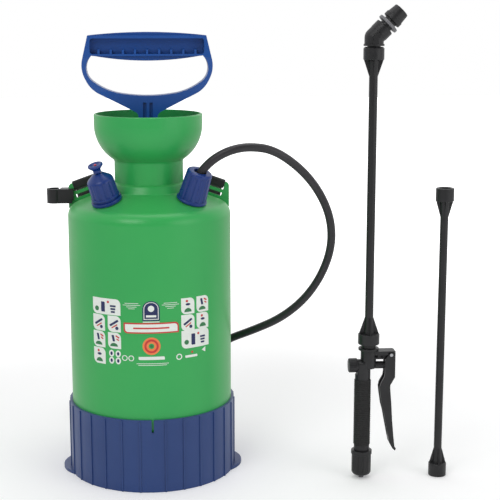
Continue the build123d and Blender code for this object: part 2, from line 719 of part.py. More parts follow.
with BuildPart() as handle_pin:
    with BuildSketch(Plane.YZ):
        with Locations((0, handle_pin_z)):
            Circle(2)
    extrude(amount=stem_half, both=True)
handle_pin.part.label = "handle_pin"
export_step(handle_pin.part, "parts/handle_pin.step")

# Wand handle: valve body with the bracket of the trigger, grip sleeve, hose nut and tail
valve_axis = Plane(origin=(grip_x, wand_y, rod_z), x_dir=(0, 1, 0), z_dir=(-1, 0, 0))
bracket_end_x = grip_x + 34.4
bracket_top_z = 143.9
bracket_foot_z = 134.9
head_roof_z = 142.7         # the trigger's head turns under this
head_start_x = grip_x + 26.4
nut_top_z = 31.6
sleeve_foot_z = 38.0
sleeve_top_z = 111.5
spigot_top_z = lance_foot_z + 9
with BuildPart() as valve_body:
    add(turned(wand, [
        (0, 12.2), (7.6, 12.2), (7.6, nut_top_z + 0.2), (8.4, nut_top_z + 0.2), (8.4, sleeve_foot_z),
        (6.4, sleeve_foot_z), (6.4, sleeve_top_z), (8.35, sleeve_top_z), (8.35, 132.5), (0, 132.5),
    ], [0, 0.5, 0, 0, 0.6, 0, 0, 0.8, 3, 0]))
    with Locations((grip_x - 11.6, wand_y, 127)):
        Box(10, 20, 20, mode=Mode.SUBTRACT)
    add(turned(lance, [
        (0, 124), (8.4, 124), (8.4, 144.5), (11, 144.5), (11, 147), (7.8, 147), (7.8, lance_foot_z),
        (socket_r - spigot_fit, lance_foot_z), (socket_r - spigot_fit, spigot_top_z), (0, spigot_top_z),
    ], [0, 2, 0, 0.6, 0.6, 0, 0, 0, 0.5, 0]))
    add(turned(valve_axis, [(0, -22.3), (4, -22.3), (4, -2), (6.6, 0), (6.6, 6.6), (0, 6.6)]))
    with BuildSketch(Plane.XZ.offset(-wand_y)):
        with BuildLine():
            Polyline(
                (grip_x + 8, bracket_foot_z), (grip_x + 27, bracket_foot_z), (pivot_x, pivot_z - 3.6),
                (pivot_x + 1, bracket_top_z - 2), (grip_x + 8, bracket_top_z - 2), close=True,
            )
        make_face()
        with Locations((pivot_x, pivot_z)):
            Circle(3.6)
    extrude(amount=3, both=True)
    with BuildSketch(Plane.XZ.offset(-wand_y)):
        with BuildLine():
            Polyline(
                (grip_x + 8, bracket_top_z - 4.1), (head_start_x, bracket_top_z - 4.1),
                (head_start_x, head_roof_z), (bracket_end_x, head_roof_z),
                (bracket_end_x, bracket_top_z - 0.5), (bracket_end_x - 2.2, bracket_top_z),
                (grip_x + 8, bracket_top_z), close=True,
            )
        make_face()
    extrude(amount=7, both=True)
    with BuildSketch(Plane.XZ.offset(-wand_y)):
        with Locations((grip_x + 14.8, bracket_foot_z + 0.9)):
            Rectangle(12.6, 1.8)
        with Locations((grip_x + 16.7, (bracket_foot_z + bracket_top_z) / 2)):
            Rectangle(3.2, bracket_top_z - bracket_foot_z)
    extrude(amount=5.4, both=True)
    add(turned(valve_axis, [(0, 1), (5.05, 1), (5.05, 8), (0, 8)]), mode=Mode.SUBTRACT)
    add(turned(valve_axis, [(0, -1.2), (2.3, -1.2), (2.3, 2), (0, 2)]), mode=Mode.SUBTRACT)
    add(turned(valve_axis, [(0, -8), (3, -8), (3, -1.2), (0, -1.2)]), mode=Mode.SUBTRACT)
    add(turned(valve_axis, [(0, -24), (1.7, -24), (1.7, -7), (0, -7)]), mode=Mode.SUBTRACT)
    with BuildSketch(Plane.XY.offset(12)):
        with Locations((grip_x - 3.2, wand_y)):
            Circle(1.8)
    extrude(amount=rod_z - 12, mode=Mode.SUBTRACT)
    with BuildSketch(Plane.XY.offset(rod_z)):
        with Locations((lance_x, wand_y)):
            Circle(2)
    extrude(amount=spigot_top_z - rod_z, mode=Mode.SUBTRACT)
    with BuildSketch(Plane.XZ.offset(-wand_y)):
        with Locations((pivot_x, pivot_z)):
            Circle(1.8)
    extrude(amount=5, both=True, mode=Mode.SUBTRACT)
valve_body.part.label = "valve_body"
export_step(valve_body.part, "parts/valve_body.step")

sleeve_rings = 34
with BuildPart() as grip_sleeve:
    ring_step = (sleeve_top_z - sleeve_foot_z) / sleeve_rings
    ridges = [(6.45, sleeve_foot_z)]
    for k in range(sleeve_rings):
        ridges.append((grip_r - 0.8, sleeve_foot_z + k * ring_step))
        ridges.append((grip_r, sleeve_foot_z + (k + 0.5) * ring_step))
    ridges += [(grip_r - 0.8, sleeve_top_z), (6.45, sleeve_top_z)]
    add(turned(wand, ridges))
grip_sleeve.part.label = "grip_sleeve"
export_step(grip_sleeve.part, "parts/grip_sleeve.step")

with BuildPart() as inlet_nut:
    add(turned(wand, [
        (2.9, 3.6), (10.6, 3.6), (10.6, 27), (11.35, 27.4), (11.35, nut_top_z), (7.8, nut_top_z), (7.8, 8.4), (2.9, 8.4),
    ], [0, 4, 0, 0.3, 0.6, 0, 0, 0]))
    add(flutes(wand, 11.5, 12, 1.5, 8.5, 26), mode=Mode.SUBTRACT)
inlet_nut.part.label = "inlet_nut"
export_step(inlet_nut.part, "parts/inlet_nut.step")

with BuildPart() as inlet_tail:
    add(turned(wand, [(1.6, 0), (2.7, 0), (2.7, 8.4), (7.3, 8.4), (7.3, 10.8), (1.6, 10.8)]))
inlet_tail.part.label = "inlet_tail"
export_step(inlet_tail.part, "parts/inlet_tail.step")

with BuildPart() as inlet_gasket:
    add(turned(wand, [(5.2, 10.8), (7.3, 10.8), (7.3, 12.2), (5.2, 12.2)]))
inlet_gasket.part.label = "inlet_gasket"
export_step(inlet_gasket.part, "parts/inlet_gasket.step")

# Trigger: a channel that straddles the bracket and presses the push rod
trigger_side = [
    (29.1, 142), (34.4, 142), (34.4, 114.6), (29.4, 105.7), (29.5, 101.2), (31.1, 83.1), (32.2, 66.2),
    (33.9, 48.7), (35.4, 35.9), (37.1, 33.3), (35.7, 31.2), (32.9, 34.2), (29.8, 40), (26.6, 55.7),
    (22.7, 75.6), (20.6, 83.1), (18.4, 97.3), (17.8, 102.8), (18.8, 107.6), (22.7, 114.8), (23.3, 119.3),
    (23.3, 134.9),
]
channel_cut = [
    (20, 145), (36, 145), (36, 132), (32, 132), (32, 115.3), (26.9, 106.3), (27, 101.2), (28.6, 83),
    (29.6, 66.4), (30.9, 50), (26.5, 44), (10, 60), (10, 120),
]
with BuildPart() as trigger:
    extrude(
        outline(Plane.XZ.offset(-wand_y), [(grip_x + x, z) for x, z in trigger_side]),
        amount=trigger_width / 2, both=True,
    )
    extrude(
        outline(Plane.XZ.offset(-wand_y), [(grip_x + x, z) for x, z in channel_cut]),
        amount=trigger_width / 2 - 2.5, both=True, mode=Mode.SUBTRACT,
    )
    with BuildSketch(Plane.XZ.offset(-wand_y)):
        with Locations((grip_x + 27.6, rod_z)):
            Circle(2)
    extrude(amount=trigger_width / 2 - 1, both=True)
    with BuildSketch(Plane.XZ.offset(-wand_y)):
        with Locations((pivot_x, pivot_z)):
            Circle(1.8)
    extrude(amount=trigger_width, both=True, mode=Mode.SUBTRACT)
trigger.part.label = "trigger"
export_step(trigger.part, "parts/trigger.step")

with BuildPart() as trigger_pin:
    with BuildSketch(Plane.XZ.offset(-wand_y)):
        with Locations((pivot_x, pivot_z)):
            Circle(1.8 - running_fit)
    extrude(amount=trigger_width / 2, both=True)
trigger_pin.part.label = "trigger_pin"
export_step(trigger_pin.part, "parts/trigger_pin.step")

with BuildPart() as push_rod:
    add(turned(valve_axis, [(0, -25.54), (1.65, -25.54), (1.65, 4), (0, 4)], [0, 0.5, 0, 0]))
push_rod.part.label = "push_rod"
export_step(push_rod.part, "parts/push_rod.step")

with BuildPart() as rod_seal:
    add(turned(valve_axis, [(1.67, -7.9), (2.95, -7.9), (2.95, -6.5), (1.67, -6.5)]))
rod_seal.part.label = "rod_seal"
export_step(rod_seal.part, "parts/rod_seal.step")

with BuildPart() as valve_plug:
    add(turned(valve_axis, [(1.67, 1), (3.2, 1), (3.2, 3), (1.67, 3)]))
valve_plug.part.label = "valve_plug"
export_step(valve_plug.part, "parts/valve_plug.step")

with BuildPart() as valve_spring:
    add(coil_spring(valve_axis, 2.5, 0.35, 3.05, 13.4, 6))
valve_spring.part.label = "valve_spring"
export_step(valve_spring.part, "parts/valve_spring.step")

with BuildPart() as valve_cap:
    add(turned(valve_axis, [
        (3.4, 3.6), (5, 3.6), (5, 6.6), (7.7, 6.6), (7.7, 15.8), (0, 15.8), (0, 13.5), (3.4, 13.5),
    ], [0, 0, 0, 0.6, 1.2, 0, 0, 0]))
    add(flutes(valve_axis, 8.4, 12, 1.1, 7.6, 14.6), mode=Mode.SUBTRACT)
valve_cap.part.label = "valve_cap"
export_step(valve_cap.part, "parts/valve_cap.step")

# Lance: tube with a finned cup at each end
lower_cup_r = 11.5
lower_cup_top = 162.3
upper_cup_r = 10.9
upper_cup_foot = 455.0
with BuildPart() as lance_tube:
    add(turned(lance, [
        (socket_r, lance_foot_z), (lower_cup_r, lance_foot_z), (lower_cup_r, lower_cup_top), (5.6, lower_cup_top + 1),
        (lance_tube_r, 180.7), (lance_tube_r, 438), (5.4, upper_cup_foot - 1), (upper_cup_r, upper_cup_foot),
        (upper_cup_r, 466.5), (upper_cup_r - 1.4, lance_top_z), (socket_r, lance_top_z), (socket_r, 458), (lance_bore_r, 458),
        (lance_bore_r, spigot_top_z + 1.4), (socket_r, spigot_top_z + 1.4),
    ], [0, 1, 0.8, 0, 0, 0, 0, 0.8, 0, 0, 0, 0, 0, 0, 0]))
    add(fins(lance, (lower_cup_r - 0.7, lower_cup_top), (lance_tube_r, 180.7)))
    add(fins(lance, (upper_cup_r - 0.6, upper_cup_foot), (lance_tube_r, 438)))
    with BuildSketch(lance.offset(spigot_top_z + 1.4)):
        Circle(lance_bore_r)
    extrude(amount=458 - spigot_top_z - 1.4, mode=Mode.SUBTRACT)
lance_tube.part.label = "lance_tube"
export_step(lance_tube.part, "parts/lance_tube.step")

with BuildPart() as lance_oring:
    add(turned(lance, [
        (3.2, spigot_top_z), (6.9, spigot_top_z), (6.9, spigot_top_z + 1.3), (3.2, spigot_top_z + 1.3),
    ]))
lance_oring.part.label = "lance_oring"
export_step(lance_oring.part, "parts/lance_oring.step")

# Nozzle: elbow, seal ring, swirl core and cone cap
elbow_r = 10.0
neck_end = 15.6
male_end = 33.0
male_r = 7.0
with BuildPart() as nozzle_elbow:
    add(turned(lance, [
        (0, 459), (socket_r - spigot_fit, 459), (socket_r - spigot_fit, 469), (10.8, 469), (10.8, 471),
        (elbow_r, 471), (elbow_r, bend_z), (0, bend_z),
    ]))
    with Locations((lance_x, wand_y, bend_z)):
        Sphere(elbow_r)
    add(turned(nozzle, [
        (0, 0), (elbow_r, 0), (elbow_r, 5.8), (elbow_r + 0.3, 6.4), (elbow_r + 0.3, neck_end), (male_r, neck_end), (male_r, male_end),
        (0, male_end),
    ], [0, 0, 0, 0, 0.8, 0, 0.4, 0]))
    with BuildSketch(Plane.XZ.offset(-wand_y)):
        with BuildLine():
            Polyline(
                (lance_x - 2.6, 471), (lance_x + 2.6, 471), (lance_x + 2.6, bend_z - 1.1),
                (lance_x + 6.1, bend_z + 2.5), (lance_x + 2.4, bend_z + 6.1), (lance_x - 2.6, bend_z + 1.1), close=True,
            )
        make_face()
    extrude(amount=elbow_r + 0.9, both=True)
    add(turned(lance, [(0, 458), (lance_bore_r, 458), (lance_bore_r, bend_z), (0, bend_z)]), mode=Mode.SUBTRACT)
    add(turned(nozzle, [(0, 0), (lance_bore_r, 0), (lance_bore_r, 34), (0, 34)]), mode=Mode.SUBTRACT)
nozzle_elbow.part.label = "nozzle_elbow"
export_step(nozzle_elbow.part, "parts/nozzle_elbow.step")

with BuildPart() as nozzle_ring:
    add(turned(nozzle, [
        (male_r + 0.1, 18.4), (11.65, 18.4), (11.65, 21.5), (male_r + 0.1, 21.5),
    ], [0, 0.6, 0.6, 0]))
nozzle_ring.part.label = "nozzle_ring"
export_step(nozzle_ring.part, "parts/nozzle_ring.step")

with BuildPart() as swirl_core:
    add(turned(nozzle, [(0, male_end), (4.6, male_end), (4.6, 36), (2.2, 37.4), (0, 37.4)]))
    with Locations(nozzle.offset(male_end).location):
        with PolarLocations(4.4, 4):
            Box(2.4, 0.9, 8, mode=Mode.SUBTRACT)
swirl_core.part.label = "swirl_core"
export_step(swirl_core.part, "parts/swirl_core.step")

with BuildPart() as nozzle_cap:
    add(turned(nozzle, [
        (male_r + 0.1, 24.4), (10.15, 24.4), (10.15, 29.4), (9.5, 29.6), (8.4, 39.8), (0.8, 39.8), (0.8, 38.2),
        (4.8, 37.6), (4.8, male_end + 0.3), (male_r + 0.1, male_end + 0.3),
    ], [0, 0.6, 0.5, 0, 1.2, 0, 0, 0, 0, 0]))
    add(flutes(nozzle, 10.4, 16, 1.0, 30.4, 38.2, taper=6), mode=Mode.SUBTRACT)
nozzle_cap.part.label = "nozzle_cap"
export_step(nozzle_cap.part, "parts/nozzle_cap.step")

# Extension tube: a finned cup at each end, standing on its lower one
with BuildPart() as extension_tube:
    cup_height = 14.0
    fin_height = 17.0
    socket_depth = 10.0
    add(turned(extension, [
        (socket_r, 0), (cup_r, 0), (cup_r, cup_height), (5.4, cup_height + 1),
        (extension_tube_r, cup_height + fin_height), (extension_tube_r, extension_height - cup_height - fin_height),
        (5.4, extension_height - cup_height - 1), (cup_r, extension_height - cup_height), (cup_r, extension_height),
        (socket_r, extension_height), (socket_r, extension_height - socket_depth),
        (lance_bore_r, extension_height - socket_depth), (lance_bore_r, socket_depth + 1.4),
        (oring_seat_r, socket_depth + 1.4), (oring_seat_r, socket_depth), (socket_r, socket_depth),
    ], [0, 0.8, 0.8, 0, 0, 0, 0, 0.8, 0.8, 0, 0, 0, 0, 0, 0, 0]))
    add(fins(extension, (cup_r - 0.6, cup_height), (extension_tube_r, cup_height + fin_height)))
    upper_fin_foot = extension_height - cup_height - fin_height
    add(fins(extension, (cup_r - 0.6, extension_height - cup_height), (extension_tube_r, upper_fin_foot)))
    with BuildSketch(extension.offset(socket_depth + 1.4)):
        Circle(lance_bore_r)
    extrude(amount=extension_height - 2 * socket_depth - 1.4, mode=Mode.SUBTRACT)
extension_tube.part.label = "extension_tube"
export_step(extension_tube.part, "parts/extension_tube.step")

with BuildPart() as extension_oring:
    add(turned(extension, [
        (3.2, socket_depth), (oring_seat_r - 0.05, socket_depth), (oring_seat_r - 0.05, socket_depth + 1.3),
        (3.2, socket_depth + 1.3),
    ]))
extension_oring.part.label = "extension_oring"
export_step(extension_oring.part, "parts/extension_oring.step")

# Printed facts about the hose
for place, radius in zip(hose_points[1:], hose_radii):
    print(f"hose corner ({place.X:.1f}, {place.Y:.1f}, {place.Z:.1f}) radius {radius:.1f}")
section = pi * hose_r ** 2
for name, line, tube in (("free hose", hose_line, hose), ("hose coil", coil_line, hose_coil)):
    length = sum(edge.length for edge in line.edges())
    print(f"{name} length {length:.1f}, from volume {tube.part.volume / section:.1f}")
print(f"hose coil self gap {coil_pitch - 2 * hose_r:.2f}")
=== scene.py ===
import bpy
import bmesh
import json
from math import atan2, cos, hypot, pi, radians, sin, sqrt, tan
from mathutils import Matrix, Vector


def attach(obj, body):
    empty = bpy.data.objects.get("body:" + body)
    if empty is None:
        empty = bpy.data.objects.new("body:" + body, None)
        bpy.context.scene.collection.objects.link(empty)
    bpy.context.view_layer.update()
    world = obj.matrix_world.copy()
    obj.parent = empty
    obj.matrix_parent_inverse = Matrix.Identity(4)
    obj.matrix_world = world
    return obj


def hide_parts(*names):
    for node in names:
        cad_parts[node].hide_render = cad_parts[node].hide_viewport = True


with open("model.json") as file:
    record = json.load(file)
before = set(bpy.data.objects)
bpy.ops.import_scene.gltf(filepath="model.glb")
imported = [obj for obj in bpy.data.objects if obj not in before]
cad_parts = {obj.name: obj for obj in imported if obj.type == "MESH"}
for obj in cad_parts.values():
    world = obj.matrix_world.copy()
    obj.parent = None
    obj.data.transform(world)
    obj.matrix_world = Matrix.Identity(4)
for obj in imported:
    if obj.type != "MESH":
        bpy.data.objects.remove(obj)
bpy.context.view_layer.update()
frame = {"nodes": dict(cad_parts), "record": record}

mm = 0.001


# ---- camera, lamps, floor
studio = {
    "cameraPlace": (0.0, -1.368, 0.506),
    "cameraTilt": 10.8,  # degrees below the horizontal
    "cameraTurn": 4.61,  # degrees to the right of the tank
    "lens": 90.8,
    "lamps": {  # place, aim, size, power
        "keyLamp": ((-0.9, -1.6, 1.7), (0.05, 0, 0.25), 1.2, 13),
        "fillLamp": ((1.6, -1.3, 0.9), (0.1, 0, 0.25), 1.4, 8),
        "topLamp": ((0.2, 0.3, 2.2), (0.1, 0, 0.2), 1.6, 9),
    },
    "ambient": 0.62,  # world light on the object
    "frontGloss": 0.10,  # the dim room in front, as gloss shows it; behind it is white
    "floorColor": (0.90, 0.90, 0.905),
    "floorLift": (0.16, 1.0),  # added where the camera sees the floor near the object and far from it
    "floorFade": (0.35, 1.3),  # where the one turns into the other
}


def makeCamera():
    data = bpy.data.cameras.new("camera")
    data.lens = studio["lens"]
    data.sensor_width = 36
    camera = bpy.data.objects.new("camera", data)
    camera.location = studio["cameraPlace"]
    camera.rotation_euler = (radians(90 - studio["cameraTilt"]), 0, -radians(studio["cameraTurn"]))
    bpy.context.collection.objects.link(camera)
    bpy.context.scene.camera = camera


def makeLamp(name, place, aim, size, power):
    data = bpy.data.lights.new(name, "AREA")
    data.shape = "DISK"
    data.size = size
    data.energy = power
    lamp = bpy.data.objects.new(name, data)
    lamp.location = place
    lamp.rotation_euler = (Vector(aim) - Vector(place)).to_track_quat("-Z", "Y").to_euler()
    bpy.context.collection.objects.link(lamp)


def makeWorld():
    world = bpy.data.worlds.new("studioWorld")
    bpy.context.scene.world = world
    world.use_nodes = True
    nodes, links = world.node_tree.nodes, world.node_tree.links
    path = nodes.new("ShaderNodeLightPath")
    coords = nodes.new("ShaderNodeTexCoord")
    split = nodes.new("ShaderNodeSeparateXYZ")
    gloss = nodes.new("ShaderNodeMapRange")
    gloss.interpolation_type = "SMOOTHSTEP"
    gloss.inputs["From Min"].default_value = -0.75
    gloss.inputs["From Max"].default_value = 0.25
    gloss.inputs["To Min"].default_value = studio["frontGloss"]
    gloss.inputs["To Max"].default_value = 1.0
    glossOrNot = nodes.new("ShaderNodeMix")
    glossOrNot.inputs["A"].default_value = studio["ambient"]
    seen = nodes.new("ShaderNodeMath")
    seen.operation = "MAXIMUM"
    level = nodes.new("ShaderNodeMix")
    level.inputs["B"].default_value = 1.0
    links.new(coords.outputs["Generated"], split.inputs["Vector"])
    links.new(split.outputs["Y"], gloss.inputs["Value"])
    links.new(path.outputs["Is Glossy Ray"], glossOrNot.inputs["Factor"])
    links.new(gloss.outputs["Result"], glossOrNot.inputs["B"])
    links.new(path.outputs["Is Camera Ray"], seen.inputs[0])
    links.new(path.outputs["Is Transmission Ray"], seen.inputs[1])
    links.new(seen.outputs[0], level.inputs["Factor"])
    links.new(glossOrNot.outputs["Result"], level.inputs["A"])
    back = nodes["Background"]
    back.inputs["Color"].default_value = (1, 1, 1, 1)
    links.new(level.outputs["Result"], back.inputs["Strength"])


def makeFloor():
    mesh = bmesh.new()
    bmesh.ops.create_grid(mesh, x_segments=12, y_segments=12, size=6)
    bmesh.ops.translate(mesh, verts=mesh.verts, vec=(0, 0, -0.0002))
    floor = linkMesh("studioFloor", mesh)
    paint = bpy.data.materials.new("floorPaint")
    paint.use_nodes = True
    nodes, links = paint.node_tree.nodes, paint.node_tree.links
    shader = nodes["Principled BSDF"]
    shader.inputs["Base Color"].default_value = (*studio["floorColor"], 1)
    shader.inputs["Roughness"].default_value = 0.9
    shader.inputs["Specular IOR Level"].default_value = 0.1
    path = nodes.new("ShaderNodeLightPath")
    coords = nodes.new("ShaderNodeTexCoord")
    away = nodes.new("ShaderNodeVectorMath")
    away.operation = "LENGTH"
    fade = nodes.new("ShaderNodeMapRange")
    fade.interpolation_type = "SMOOTHSTEP"
    fade.inputs["From Min"].default_value, fade.inputs["From Max"].default_value = studio["floorFade"]
    fade.inputs["To Min"].default_value, fade.inputs["To Max"].default_value = studio["floorLift"]
    lift = nodes.new("ShaderNodeMath")
    lift.operation = "MULTIPLY"
    links.new(coords.outputs["Object"], away.inputs[0])
    links.new(away.outputs["Value"], fade.inputs["Value"])
    links.new(fade.outputs["Result"], lift.inputs[1])
    links.new(path.outputs["Is Camera Ray"], lift.inputs[0])
    shader.inputs["Emission Color"].default_value = (1, 1, 1, 1)
    links.new(lift.outputs[0], shader.inputs["Emission Strength"])
    wear(floor, paint)


# ---- shared makers
def linkMesh(name, mesh, smooth=False):
    data = bpy.data.meshes.new(name)
    mesh.to_mesh(data)
    mesh.free()
    piece = bpy.data.objects.new(name, data)
    bpy.context.collection.objects.link(piece)
    if smooth:
        data.shade_smooth()
    return piece


def makeMouldedGroup():
    group = bpy.data.node_groups.new("mouldedSurface", "ShaderNodeTree")
    face = group.interface
    for name, kind, value in (
        ("Color", "NodeSocketColor", (0.5, 0.5, 0.5, 1)),
        ("Shade", "NodeSocketColor", (0.4, 0.4, 0.4, 1)),
        ("Cloud Size", "NodeSocketFloat", 18.0),
        ("Grain Size", "NodeSocketFloat", 900.0),
        ("Roughness Low", "NodeSocketFloat", 0.3),
        ("Roughness High", "NodeSocketFloat", 0.45),
        ("Bump", "NodeSocketFloat", 0.08),
    ):
        socket = face.new_socket(name, in_out="INPUT", socket_type=kind)
        socket.default_value = value
    face.new_socket("Color", in_out="OUTPUT", socket_type="NodeSocketColor")
    face.new_socket("Roughness", in_out="OUTPUT", socket_type="NodeSocketFloat")
    face.new_socket("Normal", in_out="OUTPUT", socket_type="NodeSocketVector")
    nodes, links = group.nodes, group.links
    given = nodes.new("NodeGroupInput")
    result = nodes.new("NodeGroupOutput")
    coords = nodes.new("ShaderNodeTexCoord")
    cloud = nodes.new("ShaderNodeTexNoise")
    cloud.inputs["Detail"].default_value = 3
    grain = nodes.new("ShaderNodeTexNoise")
    grain.inputs["Detail"].default_value = 4
    grain.inputs["Roughness"].default_value = 0.6
    mix = nodes.new("ShaderNodeMix")
    mix.data_type = "RGBA"
    rough = nodes.new("ShaderNodeMapRange")
    rough.inputs["From Min"].default_value = 0.3
    rough.inputs["From Max"].default_value = 0.7
    bump = nodes.new("ShaderNodeBump")
    bump.inputs["Distance"].default_value = 0.0002
    links.new(coords.outputs["Object"], cloud.inputs["Vector"])
    links.new(coords.outputs["Object"], grain.inputs["Vector"])
    links.new(given.outputs["Cloud Size"], cloud.inputs["Scale"])
    links.new(given.outputs["Grain Size"], grain.inputs["Scale"])
    links.new(cloud.outputs["Fac"], mix.inputs["Factor"])
    links.new(given.outputs["Color"], mix.inputs["A"])
    links.new(given.outputs["Shade"], mix.inputs["B"])
    links.new(cloud.outputs["Fac"], rough.inputs["Value"])
    links.new(given.outputs["Roughness Low"], rough.inputs["To Min"])
    links.new(given.outputs["Roughness High"], rough.inputs["To Max"])
    links.new(grain.outputs["Fac"], bump.inputs["Height"])
    links.new(given.outputs["Bump"], bump.inputs["Strength"])
    links.new(mix.outputs["Result"], result.inputs["Color"])
    links.new(rough.outputs["Result"], result.inputs["Roughness"])
    links.new(bump.outputs["Normal"], result.inputs["Normal"])
    return group


def finish(name, color, shade, rough=(0.3, 0.45), cloud=18, grain=900, bump=0.08, **sockets):
    paint = bpy.data.materials.new(name)
    paint.use_nodes = True
    nodes, links = paint.node_tree.nodes, paint.node_tree.links
    shader = nodes["Principled BSDF"]
    surface = nodes.new("ShaderNodeGroup")
    surface.node_tree = moulded
    surface.inputs["Color"].default_value = (*color, 1)
    surface.inputs["Shade"].default_value = (*shade, 1)
    surface.inputs["Cloud Size"].default_value = cloud
    surface.inputs["Grain Size"].default_value = grain
    surface.inputs["Roughness Low"].default_value = rough[0]
    surface.inputs["Roughness High"].default_value = rough[1]
    surface.inputs["Bump"].default_value = bump
    links.new(surface.outputs["Color"], shader.inputs["Base Color"])
    links.new(surface.outputs["Roughness"], shader.inputs["Roughness"])
    links.new(surface.outputs["Normal"], shader.inputs["Normal"])
    for socket, value in sockets.items():
        shader.inputs[socket.replace("_", " ")].default_value = value
    return paint


def wear(piece, paint):
    piece.data.materials.clear()
    piece.data.materials.append(paint)


makeCamera()
makeWorld()
makeFloor()
for lampName, (place, aim, size, power) in studio["lamps"].items():
    makeLamp(lampName, place, aim, size, power)
bpy.context.scene.view_settings.view_transform = "Standard"
moulded = makeMouldedGroup()
print("stage: camera, lamps and world")


# ---- hose: out of the right cap, round to the right and down behind the tank, the rest coiled there
hose = {
    "radius": 4.6,
    "length": 1.27,
    "capFoot": (44.4, -42.0),
    "shoulderSlope": 21.5,
    "corners": [
        (58.3, -51.8, 343.2), (69.8, -54.2, 353.7), (86, -55.3, 361.8), (105.7, -53.6, 364.9),
        (132, -48, 360.6), (162, -36.5, 339), (184, -26, 312), (198, -15, 281), (201, -5, 248),
        (192, 6, 214), (174, 17.5, 183), (148, 31, 158), (117, 45, 141), (90, 62, 127), (68, 81, 108),
        (51, 98, 85), (38, 111, 60), (29, 118.5, 40), (20.5, 124.2, 24), (10.8, 127.8, 14.5),
        (-1.2, 129.3, 7.9), (-14.8, 129.5, 4.6), (-28.8, 129.5, 4.6),
    ],
    "coilX": -38.0,
    "coilNear": 129.5,
    "coilRadius": 58.0,
    "coilPitch": 11.0,
    "halfTurns": 4,
}


def capAxis(side):  # foot and direction of the cap left (-1) or right (1) on the shoulder
    x, y = hose["capFoot"]
    slope = radians(hose["shoulderSlope"])
    heading = atan2(y, side * x)
    foot = Vector((side * x, y, 313 - (hypot(x, y) - 45) * tan(slope)))
    return foot, Vector((sin(slope) * cos(heading), sin(slope) * sin(heading), cos(slope)))


def hosePoints():
    foot, axis = capAxis(1)
    route = [foot + axis * 20, foot + axis * 29.5] + [Vector(corner) for corner in hose["corners"]]
    y, up, steps = hose["coilNear"], 1, 9
    for half in range(hose["halfTurns"]):  # each half turn is a little smaller than the one before
        radius = hose["coilRadius"] - hose["coilPitch"] / 2 * half
        for k in range(1 if half else 0, steps):
            angle = pi * k / (steps - 1)
            route.append(Vector((hose["coilX"] - up * radius * sin(angle), y + up * radius * (1 - cos(angle)), hose["radius"])))
        y += up * 2 * radius
        up = -up
    route.append(Vector((hose["coilX"] - 2 * hose["radius"], y, hose["radius"])))
    return [place * mm for place in route]


def makeHose():
    curve = bpy.data.curves.new("hoseCord", "CURVE")
    curve.dimensions = "3D"
    points = hosePoints()
    spline = curve.splines.new("NURBS")
    spline.points.add(len(points) - 1)
    for point, place in zip(spline.points, points):
        point.co = (*place, 1)
        point.radius = hose["radius"] * mm  # the tube's own radius, so that its box is true
    spline.order_u = 3
    spline.use_endpoint_u = True
    curve.bevel_depth = 1.0
    curve.bevel_resolution = 6
    curve.resolution_u = 8
    curve.use_fill_caps = True
    piece = bpy.data.objects.new("hoseCord", curve)
    bpy.context.collection.objects.link(piece)
    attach(piece, "tank")
    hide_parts("hose", "hose_coil")
    curve.materials.append(finish("hoseRubber", (0.027, 0.025, 0.030), (0.016, 0.015, 0.018), rough=(0.36, 0.5),
                                  cloud=60, grain=2600, bump=0.12))


makeHose()
print("stage: hose")


# ---- strap: one band behind the tank, with a loop round the upper beam of each ear
webbing = {
    "width": 27.0,
    "thick": 1.6,
    "earSlope": 19.7,
    "earTop": (49.0, 330.6),  # the ear's inner upper corner
    "earMiddle": 22.0,
    "onEar": 71.5,
    "beamCentre": 2.9,  # middle of the loop, below the ear's top edge
    "loop": (4.6, 6.4),  # clear opening of the loop
    "loopRound": 1.9,
    "stations": [  # middle of the band from its lowest point up to the right ear, share of its turn
        (0, 104, 141, 0.0), (24, 103, 144, 0.08), (43, 99, 160, 0.3), (55, 95, 196, 0.7),
        (62, 91, 245, 0.95), (66.5, 85, 283, 1.0), (69.3, 69, 304.5, 1.0), (70.3, 48, 315.5, 1.0),
    ],
    "rows": 180,
    "rib": (1.3, 1.0),  # pitch of the weave across and along
    "stitchRows": (9.0, 27.0),  # from the ear's end of the band
    "stitchEdge": 10.5,
    "stitch": (2.2, 0.7, 2.2),
}


def earFrame(side):
    slope = radians(webbing["earSlope"])
    along = Vector((side * cos(slope), 0, -sin(slope)))
    up = Vector((side * sin(slope), 0, cos(slope)))
    inner, top = webbing["earTop"]
    edge = Vector((side * webbing["onEar"], webbing["earMiddle"], top - (webbing["onEar"] - inner) * tan(slope)))
    return edge - up * webbing["beamCentre"], along, up


def bandLines():  # the band's middle, and its direction across, from the left ear to the right one
    centre, along, up = earFrame(1)
    behind = webbing["loop"][0] / 2 + webbing["thick"] - 0.4  # the band's end lies 0.4 in the loop's wall
    half = [(Vector(place), turn) for *place, turn in webbing["stations"]]
    half.append((centre + Vector((0, behind, 0)), 1.0))
    middles, acrosses = [], []
    for side, stations in ((-1, half[:0:-1]), (1, half)):
        for place, turn in stations:
            middles.append(Vector((side * place.x, place.y, place.z)))
            acrosses.append(Vector((side * along.x, 0, along.z)) * turn + Vector((0, 1, 0)) * (1 - turn))
    return middles, acrosses


def roundedAt(line, share):  # smooth curve that starts and ends on the line's end points
    spans = len(line) - 2
    k = min(int(share * spans), spans - 1)
    t = share * spans - k
    start = line[0] if k == 0 else (line[k] + line[k + 1]) / 2
    end = line[-1] if k == spans - 1 else (line[k + 1] + line[k + 2]) / 2
    return start * (1 - t) ** 2 + line[k + 1] * (2 * t * (1 - t)) + end * t ** 2


